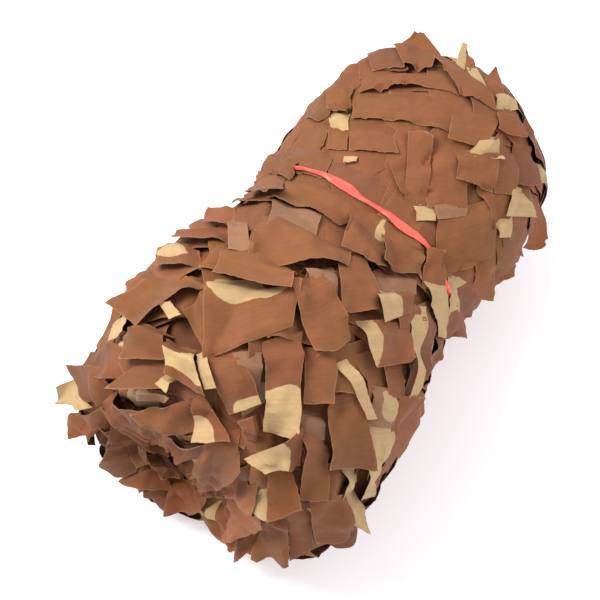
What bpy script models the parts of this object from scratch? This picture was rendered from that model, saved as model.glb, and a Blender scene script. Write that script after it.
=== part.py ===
"""Camouflage netting, rolled up and tied once round the waist with a tape.

Frame: metres, +Z up, +X along the roll from the end with the open spiral to
the closed end.  The origin is the middle of the flat spot the roll rests on.

A place on the roll is given by two numbers: s, the distance along the
meridian from the centre of the spiral end, and t, the angle round the roll in
degrees from the top, positive towards -Y.  Lengths in the tables are in
millimetres unless the name of the column says otherwise.
"""
import math
from collections import namedtuple

import bmesh
import bpy
import numpy as np

for old in list(bpy.data.objects):
    bpy.data.objects.remove(old, do_unlink=True)

MM = 0.001

# ---------------------------------------------------------------- the view
# Places on the near side are chosen by eye, as they are seen from VIEW_FROM
# looking at VIEW_AT: x to the right and y down, in steps of VIEW_STEP at that
# distance, with VIEW_AT itself seen at VIEW_MIDDLE in both.
VIEW_FROM = np.array([-725.4, -442.0, 1373.6])
VIEW_AT = np.array([-25.7, 20.6, 130.0])
VIEW_ROLL = -1.69           # degrees that the view is turned by
VIEW_MIDDLE = 300.0
VIEW_STEP = 1.026

# ---------------------------------------------------------------- the roll
# One row per section of the wound roll, from the spiral end to the far end.
Section = namedtuple("Section", "x radius centre_y centre_z")
SECTIONS = [
    Section(-205, 0, 34, 108),
    Section(-212, 18, 33, 110),
    Section(-235, 40, 29, 116),
    Section(-252, 70, 20, 126),
    Section(-258, 98, 10, 134),
    Section(-249, 124, 4, 138),
    Section(-225, 141, 0, 139),
    Section(-185, 150, 0, 139),
    Section(-135, 152, 0, 140),
    Section(-85, 149, 0, 138),
    Section(-40, 141, 0, 133),
    Section(-10, 134, 0, 127),
    Section(12, 129, 0, 122),
    Section(38, 123, 0, 124),
    Section(70, 125, 0, 125),
    Section(115, 132, 0, 125),
    Section(160, 135, 0, 127),
    Section(205, 133, 0, 126),
    Section(242, 121, 0, 124),
    Section(270, 99, 0, 123),
    Section(289, 68, 0, 123),
    Section(297, 36, 0, 124),
    Section(299, 0, 0, 125),
]
FLATTEN = 0.97              # height of a section against its width
SECTORS = 28                # facets round the roll
RING_STEP = 23.0            # facets along the roll
RING_STEP_END = 11.5        # and on the two ends

# Three long swellings left by the windings: waves round, waves along per
# metre, phase, size as a share of the radius.
Swell = namedtuple("Swell", "around along phase share")
SWELLS = [Swell(3, 9, 0.0, 0.018), Swell(5, -23, 1.0, 0.013), Swell(2, 31, 2.0, 0.010)]

FADE_FROM, FADE_TO = 0.75, 0.95     # cosines of the angle from the bottom

# Windings seen on the two ends: the edge of every turn stands out a little.
TURN_PITCH = 42.0
TURN_HEIGHT = 6.0
TURN_REACH = 110.0
TURN_EYE = 14.0             # radius of the smooth eye in the middle

# Hollows pressed or left open between the folds, on the near side by where
# they are seen and behind by their real place.
SeenHollow = namedtuple("SeenHollow", "x y long across heading deep")
HOLLOWS_SEEN = [
    SeenHollow(178, 474, 34, 20, 20, 18),       # beside the middle of the spiral
    SeenHollow(222, 430, 38, 17, 75, 17),       # the long gap over the spiral end
    SeenHollow(174, 500, 22, 16, 80, 10),
    SeenHollow(198, 522, 40, 40, 0, 12),        # the notch over the floor
    SeenHollow(408, 430, 60, 34, 0, 6),
    SeenHollow(313, 408, 15, 14, 90, 8),
]
Hollow = namedtuple("Hollow", "s t long across heading deep")
HOLLOWS_BEHIND = [
    Hollow(690, 150, 30, 24, 40, 12),
    Hollow(720, -60, 30, 20, 10, 12),
    Hollow(250, -118, 26, 22, 60, 9),
    Hollow(560, 132, 28, 22, 30, 9),
]

# ---------------------------------------------------------------- the tape
# Where the tape lies round the waist and how wide it shows: it is twisted
# flat, so its width changes.  Cover is 1 where a leaf lies over it.
SeenStop = namedtuple("SeenStop", "x y width cover")
TAPE_SEEN = [
    SeenStop(272, 176, 5.0, 0),
    SeenStop(287, 171, 4.5, 0),
    SeenStop(320, 173, 4.2, 0),
    SeenStop(346, 185, 10.5, 0),
    SeenStop(365, 199, 5.0, 0),
    SeenStop(383, 212, 5.5, 0),
    SeenStop(405, 230, 9.5, 0),
    SeenStop(424, 248, 5.0, 0),
    SeenStop(437, 270, 7.0, 1),
    SeenStop(447, 293, 7.0, 0),
]
TapeStop = namedtuple("TapeStop", "s t width cover")
TAPE_BEHIND = [
    TapeStop(440, 85, 8.0, 1),
    TapeStop(447, 110, 9.5, 0),
    TapeStop(453, 145, 8.0, 0),
    TapeStop(457, 180, 8.0, 0),
    TapeStop(460, 220, 9.5, 0),
    TapeStop(460, 260, 9.0, 0),
]
TAPE_THICK = 1.4
TAPE_LOW = -2.7             # depth of the tape's underside in the roll
TAPE_GAP = 0.5              # clear space left all round the tape
TAPE_NARROWEST = 3.5
TAPE_ANGLES = np.linspace(-180, 180, 60, endpoint=False)
CHANNEL_OPEN, CHANNEL_COVERED = 16.0, 0.9

# ---------------------------------------------------------------- the leaves
# The net is cut cloth: its straight-edged leaves lie over one another.
# One row per leaf: where its root and tip are seen, the real width at both,
# how far the tip stands off and how many leaves lie under it.
SeenLeaf = namedtuple("SeenLeaf", "root_x root_y tip_x tip_y root_width tip_width lift level")
LEAVES = [
    # far end and its points
    SeenLeaf(385, 50, 395, 66, 40, 30, 3, 1),
    SeenLeaf(425, 52, 417, 30, 36, 10, 12, 1),
    SeenLeaf(470, 75, 463, 47, 22, 4, 24, 1),
    SeenLeaf(488, 85, 495, 68, 24, 7, 16, 1),
    SeenLeaf(500, 95, 512, 105, 28, 20, 8, 1),
    SeenLeaf(395, 62, 385, 90, 60, 55, 3, 2),
    SeenLeaf(440, 72, 440, 93, 60, 58, 4, 2),
    SeenLeaf(510, 130, 505, 108, 32, 26, 6, 2),
    SeenLeaf(515, 145, 512, 178, 36, 30, 5, 2),
    SeenLeaf(532, 165, 545, 205, 28, 22, 6, 1),
    SeenLeaf(470, 125, 497, 160, 50, 52, 4, 3),
    SeenLeaf(425, 112, 400, 148, 110, 96, 2, 3),
    SeenLeaf(522, 187, 520, 217, 8, 27, 3, 2),
    SeenLeaf(530, 203, 540, 250, 18, 24, 8, 1),
    SeenLeaf(510, 222, 500, 262, 30, 30, 3, 1),
    SeenLeaf(508, 238, 502, 283, 30, 24, 7, 1),
    SeenLeaf(489, 256, 484, 300, 26, 26, 7, 1),
    SeenLeaf(385, 130, 345, 150, 50, 46, 3, 2),
    SeenLeaf(335, 106, 328, 147, 22, 38, 3, 3),
    SeenLeaf(305, 140, 300, 160, 40, 42, 3, 1),
    SeenLeaf(440, 168, 435, 210, 70, 66, 4, 2),
    SeenLeaf(470, 205, 450, 278, 76, 36, 4, 3),
    # the waist
    SeenLeaf(460, 280, 450, 318, 18, 12, 4, 2),
    SeenLeaf(465, 300, 455, 328, 22, 14, 6, 1),
    SeenLeaf(335, 190, 305, 209, 76, 60, 4, 2),
    SeenLeaf(300, 203, 290, 232, 46, 34, 3, 3),
    SeenLeaf(335, 220, 305, 260, 66, 64, 2, 1),
    SeenLeaf(383, 214, 370, 262, 40, 46, 3, 3),
    SeenLeaf(405, 232, 408, 275, 36, 35, 4, 2),
    SeenLeaf(434, 248, 433, 279, 20, 20, 3, 4),
    SeenLeaf(435, 278, 442, 338, 34, 4, 4, 3),
    SeenLeaf(420, 300, 421, 395, 30, 16, 3, 2),
    SeenLeaf(402, 275, 397, 322, 48, 38, 3, 1),
    SeenLeaf(342, 232, 360, 314, 42, 42, 4, 2),
    SeenLeaf(388, 318, 386, 366, 46, 26, 3, 2),
    SeenLeaf(400, 352, 385, 395, 40, 40, 3, 1),
    SeenLeaf(420, 400, 401, 442, 24, 8, 7, 1),
    SeenLeaf(228, 233, 176, 238, 30, 12, 7, 1),
    SeenLeaf(235, 213, 204, 214, 26, 16, 7, 1),
    # the thick end
    SeenLeaf(235, 245, 232, 278, 72, 66, 2, 1),
    SeenLeaf(240, 250, 296, 281, 50, 27, 3, 4),
    SeenLeaf(250, 283, 226, 354, 88, 72, 3, 3),
    SeenLeaf(312, 285, 336, 348, 36, 34, 5, 3),
    SeenLeaf(172, 283, 135, 335, 56, 48, 4, 2),
    SeenLeaf(150, 273, 125, 290, 40, 30, 5, 1),
    SeenLeaf(288, 335, 279, 438, 42, 30, 5, 3),
    SeenLeaf(328, 360, 322, 403, 28, 44, 4, 2),
    SeenLeaf(343, 398, 352, 470, 22, 48, 4, 2),
    SeenLeaf(348, 360, 370, 413, 20, 6, 3, 3),
    SeenLeaf(378, 392, 392, 428, 26, 36, 3, 1),
    SeenLeaf(392, 428, 380, 474, 30, 14, 7, 1),
    SeenLeaf(360, 488, 357, 523, 18, 14, 6, 2),
    SeenLeaf(330, 506, 326, 550, 46, 40, 6, 2),
    SeenLeaf(220, 358, 240, 414, 30, 44, 6, 1),
    SeenLeaf(172, 342, 188, 394, 30, 42, 5, 3),
    SeenLeaf(147, 326, 140, 361, 30, 38, 6, 3),
    SeenLeaf(120, 355, 81, 354, 34, 24, 10, 1),
    SeenLeaf(92, 385, 61, 396, 38, 8, 16, 1),
    SeenLeaf(150, 365, 140, 391, 50, 46, 4, 2),
    SeenLeaf(160, 424, 100, 405, 18, 32, 4, 2),
    SeenLeaf(100, 426, 70, 431, 28, 22, 12, 1),
    SeenLeaf(120, 436, 112, 474, 46, 30, 12, 1),
    SeenLeaf(296, 430, 262, 468, 46, 34, 5, 3),
    SeenLeaf(305, 430, 318, 504, 30, 36, 6, 3),
    SeenLeaf(278, 468, 262, 517, 34, 14, 5, 1),
    SeenLeaf(229, 492, 240, 547, 24, 36, 6, 2),
    SeenLeaf(272, 526, 272, 556, 36, 36, 6, 1),
    SeenLeaf(189, 398, 209, 447, 14, 34, 6, 3),
]
# A leaf by its real place on the roll.  The sides that face away are covered
# by rows of such leaves.
Leaf = namedtuple("Leaf", "root_s root_t tip_s tip_t root_width tip_width lift level")
ROWS = (96, 130, 232, 266, 300)                  # degrees round, none under the flat spot
COLUMN_FIRST, COLUMN_LAST, COLUMN_STEP = 118, 640, 92
ROW_LEAF = (76.0, 50.0, 38.0)                    # length, root width, tip width
END_TURN = 72                                    # degrees between leaves on the ends
LEAF_THICK = 2.2
LEAF_ROOT_SINK = 6.0
LONG_LEAF, WIDE_LEAF = 58.0, 42.0                # longer or wider leaves get a facet more
LEVEL_FIRST, LEVEL_STEP = 0.9, 1.5
SEED = 11


def hermite(knots, values, at):
    """Smooth curve through the knots: cubic pieces whose slope at a knot is
    that of the line through its two neighbours."""
    knots, values = np.asarray(knots, float), np.asarray(values, float)
    slope = np.gradient(values, knots)
    i = np.clip(np.searchsorted(knots, at) - 1, 0, len(knots) - 2)
    step = knots[i + 1] - knots[i]
    u = np.clip((at - knots[i]) / step, 0, 1)
    return ((1 + 2 * u) * (1 - u) ** 2 * values[i] + u * (1 - u) ** 2 * step * slope[i]
            + u * u * (3 - 2 * u) * values[i + 1] + u * u * (u - 1) * step * slope[i + 1])


ALONG = np.concatenate([[0.0], np.cumsum([math.hypot(b.x - a.x, b.radius - a.radius)
                                          for a, b in zip(SECTIONS, SECTIONS[1:])])])
END = float(ALONG[-1])


def section(s):
    """x, radius, centre y and centre z of the section at s."""
    return [hermite(ALONG, [row[k] for row in SECTIONS], s) for k in range(4)]


def swelling(s, t):
    """Share by which the radius swells at (s, t): the sum of the SWELLS waves,
    fading out near the floor so that the roll keeps its flat spot."""
    wave = sum(w.share * np.sin(w.around * t + w.along * s * MM + w.phase) for w in SWELLS)
    low = np.clip((-np.cos(t) - FADE_FROM) / (FADE_TO - FADE_FROM), 0, 1)
    return 1 + wave * (1 - low)


def raw_point(s, t):
    """Point of the smooth roll: an oval section at s, seen round by t."""
    x, radius, cy, cz = section(s)
    reach = radius * swelling(s, t)
    return np.stack([x, cy - reach * np.sin(t), cz + FLATTEN * reach * np.cos(t)], -1)


def normal(s, t):
    """Outward unit normal, from the cross product of the two slopes."""
    a = raw_point(np.minimum(s + 0.5, END), t) - raw_point(np.maximum(s - 0.5, 0), t)
    b = raw_point(s, t + 0.01) - raw_point(s, t - 0.01)
    across = np.cross(b, a)
    size = np.linalg.norm(across, axis=-1, keepdims=True)
    pole = np.where((s < END / 2)[..., None], [-1.0, 0, 0], [1.0, 0, 0])
    return np.where(size > 1e-6, across / np.maximum(size, 1e-9), pole)


SAMPLE = np.linspace(0.0, END, 1200)
SAMPLE_SECTION = section(SAMPLE)


def place(q):
    """(s, t) of the points nearest to q: the sample section whose rim passes
    closest, then the angle about that section's centre."""
    flat = q.reshape(-1, 3)
    x, radius, cy, cz = SAMPLE_SECTION
    dy = flat[:, 1:2] - cy
    dz = (flat[:, 2:3] - cz) / FLATTEN
    reach = np.hypot(dy, dz)
    off = (flat[:, 0:1] - x) ** 2 + (reach - radius) ** 2
    i = off.argmin(1)
    rows = np.arange(len(flat))
    t = np.arctan2(-dy[rows, i], dz[rows, i])
    return SAMPLE[i].reshape(q.shape[:-1]), t.reshape(q.shape[:-1])


def view_of(q):
    """Where points q are seen from VIEW_FROM."""
    ahead = VIEW_AT - VIEW_FROM
    reach = np.linalg.norm(ahead)
    ahead = ahead / reach
    right = np.cross(ahead, [0.0, 0.0, 1.0])
    right /= np.linalg.norm(right)
    up = np.cross(right, ahead)
    turn = math.radians(VIEW_ROLL)
    right, up = (right * math.cos(turn) + up * math.sin(turn),
                 up * math.cos(turn) - right * math.sin(turn))
    off = q - VIEW_FROM
    scale = reach / VIEW_STEP / (off @ ahead)
    return VIEW_MIDDLE + scale * (off @ right), VIEW_MIDDLE - scale * (off @ up)


LOOKUP_S, LOOKUP_T = 2.0, 1.0       # spacing of the places tried, along and in degrees round
SEEN_S, SEEN_T = np.meshgrid(np.arange(LOOKUP_S / 2, END, LOOKUP_S),
                             np.radians(np.arange(-180.0, 180.0, LOOKUP_T)), indexing="ij")
SEEN_POINT, SEEN_NORMAL = raw_point(SEEN_S, SEEN_T), normal(SEEN_S, SEEN_T)
SEEN_FACING = np.sum(SEEN_NORMAL * (SEEN_POINT - VIEW_FROM), -1) < 0
SEEN_X, SEEN_Y = view_of(SEEN_POINT)


def seen(x, y):
    """(s, t in degrees) of the place on the side that faces VIEW_FROM whose
    view is closest to (x, y)."""
    off = np.where(SEEN_FACING, (SEEN_X - x) ** 2 + (SEEN_Y - y) ** 2, np.inf)
    i = np.unravel_index(off.argmin(), off.shape)
    return float(SEEN_S[i]), math.degrees(SEEN_T[i])


hollows = [Hollow(*seen(h.x, h.y), *h[2:]) for h in HOLLOWS_SEEN] + HOLLOWS_BEHIND


def relief(s, t):
    """Height of the turns' edges on the ends less the hollows."""
    end = np.minimum(s, END - s)
    share = np.clip(1.6 * (1 - end / TURN_REACH), 0, 1) * np.clip(end / TURN_EYE, 0, 1)
    height = TURN_HEIGHT * share * np.sin(2 * math.pi * end / TURN_PITCH - t)
    for h in hollows:
        radius = float(section(np.array([float(h.s)]))[1][0])
        gap = (t - math.radians(h.t) + math.pi) % (2 * math.pi) - math.pi
        a, b = s - h.s, gap * radius
        turn = math.radians(h.heading)
        u = (a * math.cos(turn) + b * math.sin(turn)) / h.long
        v = (b * math.cos(turn) - a * math.sin(turn)) / h.across
        height = height - h.deep * np.exp(-1.6 * (u * u + v * v))
    return height


def point(s, t, height, with_relief=True):
    """Point at a height off the roll, never below the floor."""
    s, t = np.asarray(s, float), np.asarray(t, float)
    lift = np.asarray(height, float) + (relief(s, t) if with_relief else 0)
    p = raw_point(s, t) + lift[..., None] * normal(s, t)
    p[..., 2] = np.maximum(p[..., 2], 0.0)
    return p


def make_object(name, corners, faces):
    mesh = bpy.data.meshes.new(name)
    mesh.from_pydata([tuple(float(c) * MM for c in p) for p in corners], [], faces)
    mesh.validate()
    obj = bpy.data.objects.new(name, mesh)
    bpy.context.scene.collection.objects.link(obj)
    return obj


def face_outwards(obj):
    """Split the faces into triangles that all face out."""
    box = bmesh.new()
    box.from_mesh(obj.data)
    bmesh.ops.triangulate(box, faces=box.faces[:])
    bmesh.ops.recalc_face_normals(box, faces=box.faces[:])
    box.to_mesh(obj.data)
    box.free()


def slab(name, top, bottom, loop=False):
    """Closed solid between two grids of points; with loop the grid closes on
    itself along its first direction."""
    rows, cols = top.shape[:2]
    count = rows * cols
    last = rows if loop else rows - 1
    faces = []
    for i in range(last):
        j = (i + 1) % rows
        for k in range(cols - 1):
            a, b, c, d = i * cols + k, i * cols + k + 1, j * cols + k + 1, j * cols + k
            faces += [(a, b, c, d), (count + d, count + c, count + b, count + a)]
        for k in (0, cols - 1):
            a, b = i * cols + k, j * cols + k
            side = (a, b, count + b, count + a)
            faces.append(side if k == 0 else side[::-1])
    if not loop:
        for k in range(cols - 1):
            for i in (0, rows - 1):
                a, b = i * cols + k, i * cols + k + 1
                side = (b, a, count + a, count + b)
                faces.append(side if i == 0 else side[::-1])
    obj = make_object(name, np.concatenate([top.reshape(-1, 3), bottom.reshape(-1, 3)]), faces)
    face_outwards(obj)
    return obj


def build_core():
    """The wound roll without its leaves: rings of points between two poles."""
    stops = [0.0]
    while stops[-1] < END - RING_STEP_END:
        end = min(stops[-1], END - stops[-1])
        stops.append(stops[-1] + (RING_STEP_END if end < 120 else RING_STEP))
    stops = np.array(stops[:-1] + [END])
    angles = np.linspace(-math.pi, math.pi, SECTORS, endpoint=False)
    s, t = np.meshgrid(stops[1:-1], angles, indexing="ij")
    ring = point(s, t, np.zeros_like(s))
    poles = point(np.array([0.0, END]), np.zeros(2), np.zeros(2))
    corners = np.concatenate([ring.reshape(-1, 3), poles])
    rows = len(stops) - 2
    faces = []
    for i in range(rows - 1):
        for k in range(SECTORS):
            m = (k + 1) % SECTORS
            faces.append((i * SECTORS + k, i * SECTORS + m, (i + 1) * SECTORS + m, (i + 1) * SECTORS + k))
    first, last = rows * SECTORS, rows * SECTORS + 1
    for k in range(SECTORS):
        m = (k + 1) % SECTORS
        faces.append((first, m, k))
        faces.append((last, (rows - 1) * SECTORS + k, (rows - 1) * SECTORS + m))
    obj = make_object("net_roll", corners, faces)
    face_outwards(obj)
    return obj


def build_leaf(name, leaf):
    """One leaf: a flat quadrilateral from root to tip, laid on the roll.  Its
    root is sunk in the roll and its height rises to the tip with the square
    of the distance."""
    ends = raw_point(np.array([leaf.root_s, leaf.tip_s], float),
                     np.radians([leaf.root_t, leaf.tip_t]))
    mid_s, mid_t = place(ends.mean(0)[None])
    side = np.cross(normal(mid_s, mid_t)[0], ends[1] - ends[0])
    side /= np.linalg.norm(side)
    long = np.linalg.norm(ends[1] - ends[0])
    wide = max(leaf.root_width, leaf.tip_width)
    u, v = np.meshgrid([0.0, 0.25, 0.62, 1.0] if long > LONG_LEAF else [0.0, 0.35, 1.0],
                       [-0.5, 0.0, 0.5] if wide > WIDE_LEAF else [-0.5, 0.5], indexing="ij")
    width = leaf.root_width + (leaf.tip_width - leaf.root_width) * u
    flat = ends[0] + u[..., None] * (ends[1] - ends[0]) + (v * width)[..., None] * side
    s, t = place(flat)
    level = LEVEL_FIRST + LEVEL_STEP * leaf.level
    height = np.where(u == 0, -LEAF_ROOT_SINK, level) + leaf.lift * u * u
    top = point(s, t, height + LEAF_THICK, with_relief=False)
    low = point(s, t, height, with_relief=False)
    return slab(name, top, low)


def row_leaves():
    """Leaves for the sides that face away: rows round the roll, every second
    row moved on by half a leaf, sizes and headings varied from a fixed seed."""
    pick = np.random.default_rng(SEED)
    out = []
    for row, t in enumerate(ROWS):
        for s in range(COLUMN_FIRST + (row % 2) * COLUMN_STEP // 2, COLUMN_LAST, COLUMN_STEP):
            length, root, tip = np.array(ROW_LEAF) * pick.uniform(0.85, 1.15, 3)
            half = length * 0.5 * pick.choice([-1, 1])
            droop = 8 if t < 180 else -8
            out.append(Leaf(s + half, t, s - half, t + droop + pick.uniform(-12, 12), root, tip,
                            pick.uniform(4, 9), int(pick.integers(1, 3))))
    for t in range(-170, 180, END_TURN):
        for root, tip in ((108, 58), (END - 84, END - 34)):
            out.append(Leaf(root, t, tip, t + pick.uniform(14, 40), 46, 30, pick.uniform(3, 8), 1))
    return out


tape_stops = [TapeStop(*seen(row.x, row.y), *row[2:]) for row in TAPE_SEEN] + TAPE_BEHIND


def tape_curve(column):
    """A column of the tape's stops as a smooth closed curve round the roll."""
    turn = [row._replace(t=row.t + 360 * k) for k in (-1, 0, 1) for row in tape_stops]
    return hermite([row.t for row in turn], [getattr(row, column) for row in turn], TAPE_ANGLES)


def tape_grids(grow, low, high):
    """Top and bottom grids of the tape's loop, widened by grow on each side
    and reaching from low to high off the roll."""
    side = np.array([-0.5, 0.5])
    width = np.maximum(tape_curve("width"), TAPE_NARROWEST) + 2 * grow
    s = tape_curve("s")[:, None] + width[:, None] * side
    t = np.broadcast_to(np.radians(TAPE_ANGLES)[:, None], s.shape)
    return [point(s, t, np.broadcast_to(np.reshape(height, (-1, 1)), s.shape), with_relief=False)
            for height in (high, low)]


def channel_top():
    """How far the channel for the tape is open: through the leaves where the
    tape shows, and only just over the tape where a leaf covers it."""
    return np.where(tape_curve("cover") > 0.5, CHANNEL_COVERED, CHANNEL_OPEN)


def combine(target, tools, operation):
    """Boolean of the target with a list of tool objects, one after another."""
    for tool in tools:
        tool.hide_render = True
        tool.display_type = "WIRE"
        step = target.modifiers.new(operation.lower(), "BOOLEAN")
        step.operation = operation
        step.solver = "EXACT"
        step.object = tool
        graph = bpy.context.evaluated_depsgraph_get()
        mesh = bpy.data.meshes.new_from_object(target.evaluated_get(graph))
        target.modifiers.clear()
        target.data = mesh
        bpy.data.objects.remove(tool, do_unlink=True)


def keep_outer(obj):
    """Keep the shell with the most corners and drop the small closed pockets
    left where leaves meet, which makes them solid."""
    box = bmesh.new()
    box.from_mesh(obj.data)
    box.verts.ensure_lookup_table()
    met, shells = set(), []
    for start in box.verts:
        if start.index in met:
            continue
        met.add(start.index)
        stack, shell = [start], []
        while stack:
            corner = stack.pop()
            shell.append(corner)
            for edge in corner.link_edges:
                other = edge.other_vert(corner)
                if other.index not in met:
                    met.add(other.index)
                    stack.append(other)
        shells.append(shell)
    shells.sort(key=len)
    for shell in shells[:-1]:
        bmesh.ops.delete(box, geom=shell, context="VERTS")
    box.to_mesh(obj.data)
    box.free()


def paint(obj, name, colour, roughness):
    material = bpy.data.materials.new(name)
    material.use_nodes = True
    shader = material.node_tree.nodes["Principled BSDF"]
    shader.inputs["Base Color"].default_value = (*colour, 1)
    shader.inputs["Roughness"].default_value = roughness
    obj.data.materials.clear()
    obj.data.materials.append(material)


roll = build_core()
shown = [Leaf(*seen(a.root_x, a.root_y), *seen(a.tip_x, a.tip_y), *a[4:]) for a in LEAVES]
leaves = [build_leaf("leaf_%03d" % i, leaf) for i, leaf in enumerate(shown + row_leaves())]
combine(roll, leaves, "UNION")

channel = slab("channel", *tape_grids(TAPE_GAP, TAPE_LOW - TAPE_GAP, channel_top()), loop=True)
combine(roll, [channel], "DIFFERENCE")
keep_outer(roll)
tape = slab("tie_band", *tape_grids(0, TAPE_LOW, TAPE_LOW + TAPE_THICK), loop=True)

paint(roll, "net_cloth", (0.35, 0.15, 0.073), 0.85)
paint(tape, "tie_red", (0.80, 0.10, 0.07), 0.45)
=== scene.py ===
import math
from collections import namedtuple

import bpy
import numpy as np
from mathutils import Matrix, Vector


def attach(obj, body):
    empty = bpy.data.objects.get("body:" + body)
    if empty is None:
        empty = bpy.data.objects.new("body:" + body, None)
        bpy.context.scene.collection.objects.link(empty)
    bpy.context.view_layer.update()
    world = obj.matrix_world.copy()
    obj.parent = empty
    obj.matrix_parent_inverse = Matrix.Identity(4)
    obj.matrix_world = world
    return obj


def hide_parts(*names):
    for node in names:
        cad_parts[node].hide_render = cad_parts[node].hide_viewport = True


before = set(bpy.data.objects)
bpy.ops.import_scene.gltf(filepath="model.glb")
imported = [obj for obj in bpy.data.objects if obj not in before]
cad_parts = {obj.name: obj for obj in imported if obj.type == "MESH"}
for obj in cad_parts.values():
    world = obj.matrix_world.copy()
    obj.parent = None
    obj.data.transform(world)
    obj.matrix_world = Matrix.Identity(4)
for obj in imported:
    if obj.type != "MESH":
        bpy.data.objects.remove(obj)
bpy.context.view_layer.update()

# ----------------------------------------------------------------------------------------------
# The studio: a pale floor that runs out of sight, a large soft lamp high on the left, a weaker
# one on the right and an even pale sky, with the camera looking down along the roll.
VIEW_TARGET = Vector((-0.0257, 0.0206, 0.130))
VIEW_FROM = Vector((-0.7254, -0.4420, 1.3736))
VIEW_ROLL = -1.69                    # degrees
LENS, FILM, FRAME = 87.7, 36.0, 600  # focal length and film width in mm, the view's width in steps
FLOOR_SIZE, FLOOR_COLOUR, FLOOR_GLOW = 12.0, (0.80, 0.797, 0.84, 1), 0.385
Lamp = namedtuple("Lamp", "name place size power colour")
LAMPS = [
    Lamp("lamp_left", (-0.50, 0.80, 1.65), 0.8, 35.0, (1.0, 0.98, 0.955)),
    Lamp("lamp_right", (0.9, -1.2, 1.3), 1.6, 9.0, (1.0, 0.98, 0.97)),
]
SKY_COLOUR, SKY_POWER = (0.985, 0.975, 0.985, 1), 0.84


def aim(obj, place, target):
    """Puts an object at a place with its -Z axis towards the target."""
    obj.location = place
    obj.rotation_euler = (Vector(target) - Vector(place)).to_track_quat("-Z", "Y").to_euler()


def add(name, data):
    """A new object of the scene, at the origin."""
    obj = bpy.data.objects.new(name, data)
    bpy.context.scene.collection.objects.link(obj)
    return obj


camera = add("camera", bpy.data.cameras.new("camera"))
camera.data.lens = LENS
camera.data.clip_end = 30
aim(camera, VIEW_FROM, VIEW_TARGET)
camera.rotation_euler.rotate_axis("Z", math.radians(VIEW_ROLL))
bpy.context.scene.camera = camera
bpy.context.scene.view_settings.view_transform = "Standard"

for lamp in LAMPS:
    light = bpy.data.lights.new(lamp.name, "AREA")
    light.energy, light.size, light.color = lamp.power, lamp.size, lamp.colour
    aim(add(lamp.name, light), lamp.place, VIEW_TARGET)


def fill(target, **values):
    """Sets inputs of a shader node by their names, which have a low line for each blank."""
    for name, value in values.items():
        target.inputs[name.replace("_", " ")].default_value = value


sky = bpy.data.worlds.new("sky")
sky.use_nodes = True
fill(sky.node_tree.nodes["Background"], Color=SKY_COLOUR, Strength=SKY_POWER)
bpy.context.scene.world = sky


def write(items, name, values, kind=np.float32):
    """Writes an array to one value of all items of a mesh."""
    items.foreach_set(name, np.ascontiguousarray(values, kind).ravel())


def new_mesh(name, points, quads):
    """A mesh object from an array of points in metres and one of quads."""
    mesh = bpy.data.meshes.new(name)
    mesh.vertices.add(len(points))
    write(mesh.vertices, "co", points)
    mesh.loops.add(quads.size)
    write(mesh.loops, "vertex_index", quads, np.int32)
    mesh.polygons.add(len(quads))
    write(mesh.polygons, "loop_start", np.arange(0, quads.size, 4), np.int32)
    mesh.update(calc_edges=True)
    mesh.validate()
    return add(name, mesh)


def new_material(name):
    """A new material, its node tree and its Principled BSDF."""
    material = bpy.data.materials.new(name)
    material.use_nodes = True
    return material, material.node_tree, material.node_tree.nodes["Principled BSDF"]


half = FLOOR_SIZE / 2
floor_corners = np.array([(-half, -half, 0), (half, -half, 0), (half, half, 0), (-half, half, 0)])
floor = new_mesh("floor", floor_corners, np.array([(0, 1, 2, 3)]))
floor_paint, _, floor_shader = new_material("floor_paint")
fill(floor_shader, Base_Color=FLOOR_COLOUR, Roughness=0.9, Emission_Color=(1, 1, 1, 1),
     Emission_Strength=FLOOR_GLOW)
floor.data.materials.append(floor_paint)

# ----------------------------------------------------------------------------------------------
# The turns under the leaves: the same net of printed cloth, wound up tightly by hand, seen as crumpled
# cloth in the gaps.  Their cloth is painted darker than the leaves', as painted shade in the gaps, and
# darkest at the open end.

# A place on the roll is (s, t): s in millimetres along the meridian from the middle of the open
# end, t the angle round from the top, positive towards -Y.
MM = 0.001
Section = namedtuple("Section", "x radius centre_y centre_z")
SECTIONS = [
    Section(-205, 0, 34, 108),
    Section(-212, 18, 33, 110),
    Section(-235, 40, 29, 116),
    Section(-252, 70, 20, 126),
    Section(-258, 98, 10, 134),
    Section(-249, 124, 4, 138),
    Section(-225, 141, 0, 139),
    Section(-185, 150, 0, 139),
    Section(-135, 152, 0, 140),
    Section(-85, 149, 0, 138),
    Section(-40, 141, 0, 133),
    Section(-10, 134, 0, 127),
    Section(12, 129, 0, 122),
    Section(38, 123, 0, 124),
    Section(70, 125, 0, 125),
    Section(115, 132, 0, 125),
    Section(160, 135, 0, 127),
    Section(205, 133, 0, 126),
    Section(242, 121, 0, 124),
    Section(270, 99, 0, 123),
    Section(289, 68, 0, 123),
    Section(297, 36, 0, 124),
    Section(299, 0, 0, 125),
]
FLATTEN = 0.97                     # height of the oval sections as a share of their width
Swell = namedtuple("Swell", "around along phase share")
SWELLS = [Swell(3, 9, 0.0, 0.018), Swell(5, -23, 1.0, 0.013), Swell(2, 31, 2.0, 0.010)]
LEVEL_FROM, LEVEL_OVER = 0.75, 0.2  # the swells fade out as the place turns downwards past this
FLOOR_SOFT, FLOOR_GAP = 4.0, 0.4    # layers closer to the floor than this are pressed flat
MEAN_RADIUS = 140                  # of the roll, where the cloth is thought of as unrolled


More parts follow.
